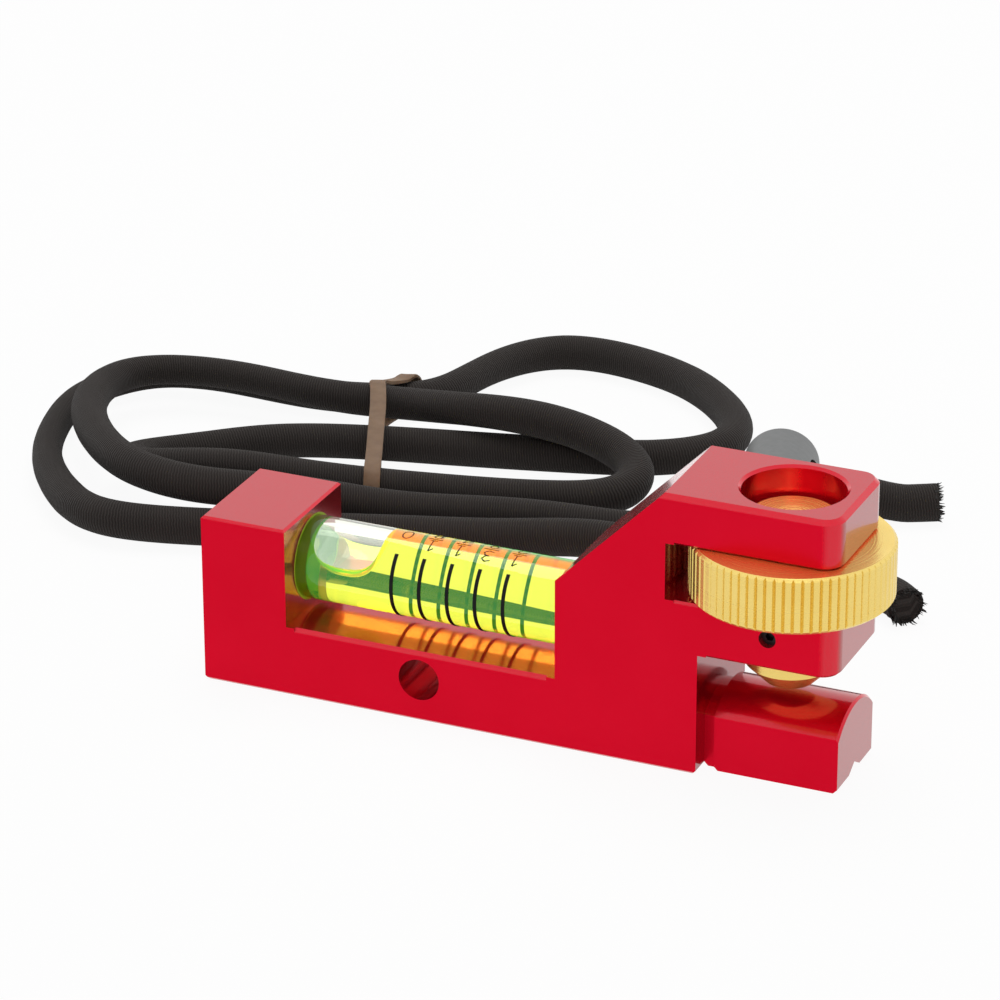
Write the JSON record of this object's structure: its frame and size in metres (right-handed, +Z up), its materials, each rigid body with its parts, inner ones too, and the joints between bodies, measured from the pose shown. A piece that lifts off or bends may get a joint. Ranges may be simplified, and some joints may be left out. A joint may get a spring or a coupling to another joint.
{
  "type": "slope level",
  "caption": "Pocket slope level: machined bar with a graduated vial, a grooved base and a thumbwheel clamp over a foot, with its banded shock cord and cord lock lying behind.",
  "frame": {"origin": "on the plane of the base, under the middle of the level's own bounding box, cord set left out", "axes": "+X along the bar towards the clamp, +Y to the back, where the cord lies, +Z up"},
  "size_m": [0.1683, 0.1385, 0.0424],
  "materials": {
    "red_anodised": "satin red anodising",
    "clear_acrylic": "clear, polished",
    "vial_liquid": "clear yellow-green liquid",
    "black_ink": "printed ink",
    "setting_compound": "dull",
    "brass": "bright turned brass",
    "dark_steel": "black oxide",
    "braided_cord": "braided sheath over rubber",
    "band_rubber": "thin matt rubber",
    "grey_plastic": "moulded, satin",
    "spring_steel": "bright wire"
  },
  "bodies": {
    "level": {"body": "red_anodised", "vial_tube": "clear_acrylic", "vial_plug_left": "clear_acrylic", "vial_plug_right": "clear_acrylic", "vial_liquid": "vial_liquid", "vial_graduations": "black_ink", "vial_bedding": "setting_compound", "vial_bore_plug": "red_anodised", "key_screw": "dark_steel", "shock_cord": "braided_cord", "hank_band": "band_rubber"},
    "thumbwheel": {"thumbwheel": "brass"},
    "clamp_stud": {"clamp_stud": "brass"},
    "cord_lock": {"cord_lock_barrel": "grey_plastic", "cord_lock_spring": "spring_steel"},
    "lock_plunger": {"cord_lock_plunger": "grey_plastic"}
  },
  "joints": [
    {"name": "wheel_turn", "type": "hinge", "parent": "level", "child": "thumbwheel", "pos_m": [0.03653, 0, 0.03072], "axis": [0, 0, 1], "range_deg": [-1078, 369]},
    {"name": "stud_feed", "type": "slide", "parent": "level", "child": "clamp_stud", "axis": [0, 0, -1], "range_m": [-0.0038, 0.0013]},
    {"name": "lock_slide", "type": "slide", "parent": "level", "child": "cord_lock", "axis": [0.9558, 0.2941, 0], "range_m": [0, 0.0025]},
    {"name": "plunger_press", "type": "slide", "parent": "cord_lock", "child": "lock_plunger", "axis": [-0.2941, 0.9558, 0], "range_m": [0, 0.002], "stiffness_N_per_m": 300, "springref_m": -0.004, "deforming": ["cord_lock_spring"]}
  ],
  "couplings": [
    {"joint": "wheel_turn", "follows": "stud_feed", "rad_per_m": 4947.4}
  ]
}
